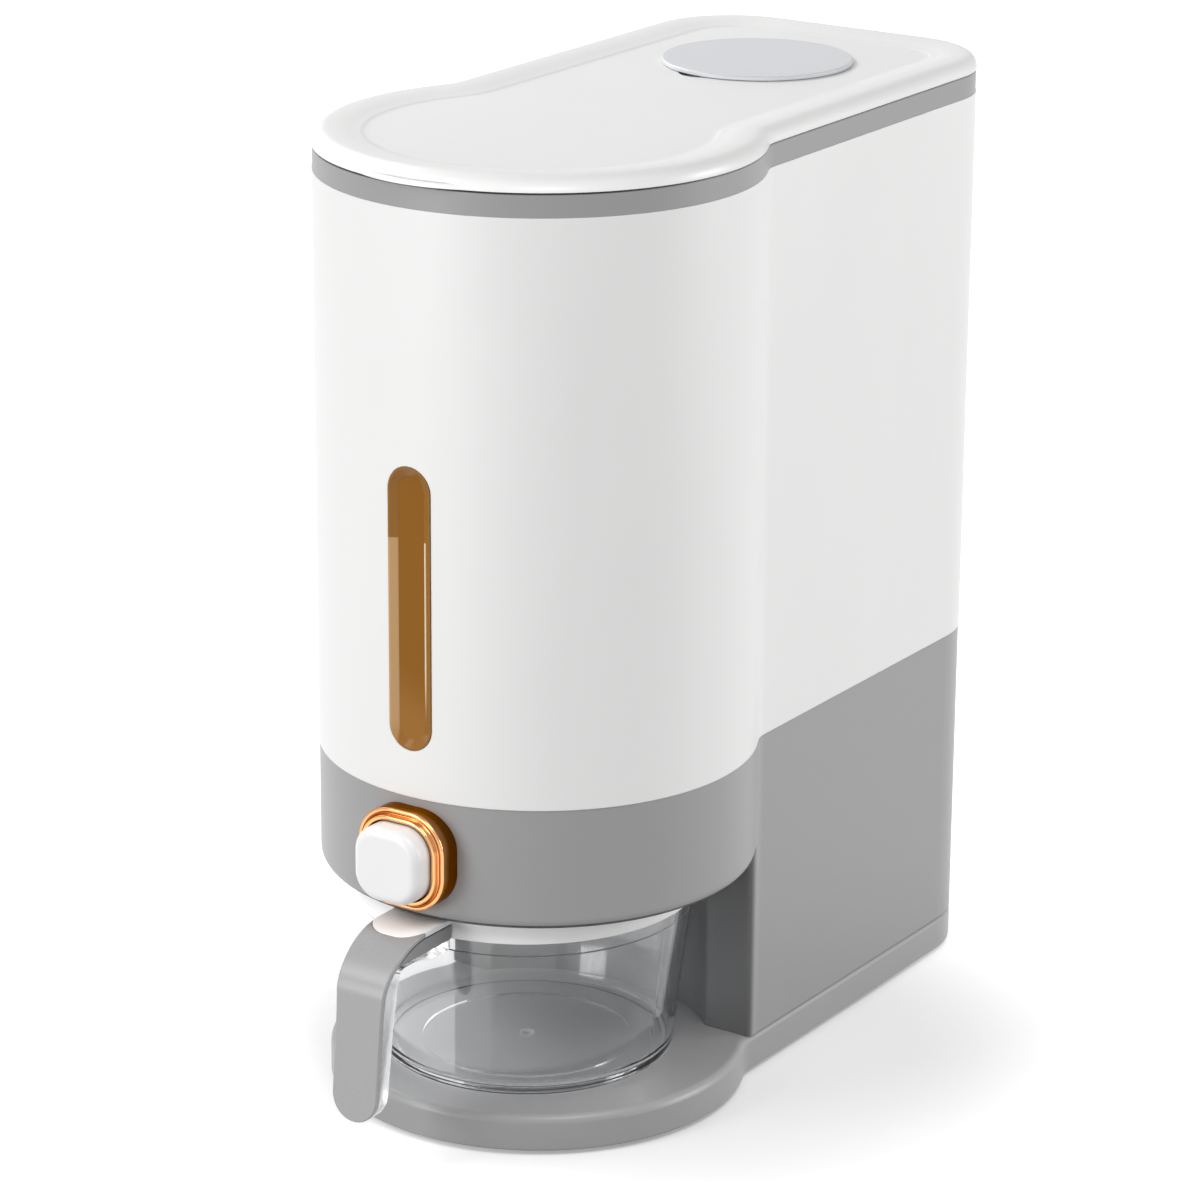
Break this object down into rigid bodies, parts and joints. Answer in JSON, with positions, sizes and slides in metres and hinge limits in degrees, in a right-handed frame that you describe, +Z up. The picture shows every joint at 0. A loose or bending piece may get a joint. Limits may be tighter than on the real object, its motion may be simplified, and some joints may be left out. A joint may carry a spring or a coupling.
{
  "type": "rice dispenser",
  "caption": "Tall keyhole-plan rice bin with a flip lid, front window, push-button outlet and a clear measuring cup in a bay on its base.",
  "frame": {"origin": "on the floor, under the middle of the whole object's width and depth", "axes": "+Z up, -Y towards the front with the button and cup, +X to the viewer's right from the front"},
  "size_m": [0.19, 0.4024, 0.426],
  "materials": {
    "white_shell": "satin white moulding",
    "white_lid": "satin white moulding",
    "white_button": "smooth white cap",
    "grey_satin": "satin mid-grey moulding",
    "grey_dark": "satin grey moulding",
    "amber_window": "tinted amber, polished",
    "rose_gold": "bright rose-gold plating",
    "frosted_cap": "frosted pale grey",
    "inner_white": "plain natural white",
    "clear_plastic": "clear polished plastic",
    "soft_grey": "soft seal",
    "foot_rubber": "matt rubber",
    "steel": "plain steel"
  },
  "bodies": {
    "housing": {"outer_shell": "white_shell", "window_lens": "amber_window", "rim_ring": "grey_satin", "lid_gasket": "soft_grey", "hinge_pin": "steel", "lower_housing": "grey_satin", "hopper": "inner_white", "base_plate": "grey_satin", "base_screws": "steel", "outlet_chute": "inner_white", "chute_screws": "steel", "button_bezel": "rose_gold", "return_spring": "steel", "foot_front_left": "foot_rubber", "foot_front_right": "foot_rubber", "foot_rear_left": "foot_rubber", "foot_rear_right": "foot_rubber"},
    "lid": {"lid": "white_lid", "desiccant_basket": "inner_white"},
    "cap": {"desiccant_cap": "frosted_cap"},
    "button": {"button_cap": "white_button", "button_stem": "inner_white", "gate_slide": "inner_white"},
    "cup": {"cup_body": "clear_plastic", "cup_collar": "white_lid", "handle_core": "clear_plastic", "handle_cover": "grey_satin", "handle_liner": "grey_dark"}
  },
  "joints": [
    {"name": "lid_hinge", "type": "hinge", "parent": "housing", "child": "lid", "pos_m": [0, 0.19785, 0.419], "axis": [-1, 0, 0], "range_deg": [0, 100]},
    {"name": "cap_lift", "type": "slide", "parent": "lid", "child": "cap", "axis": [0, 0, 1], "range_m": [0, 0.03]},
    {"name": "dispense_push", "type": "slide", "parent": "housing", "child": "button", "axis": [0, 1, 0], "range_m": [0, 0.009], "stiffness_N_per_m": 300, "springref_m": -0.004, "deforming": ["return_spring"]},
    {"name": "cup_pull", "type": "slide", "parent": "housing", "child": "cup", "axis": [0, -1, 0], "range_m": [0, 0.2]}
  ]
}
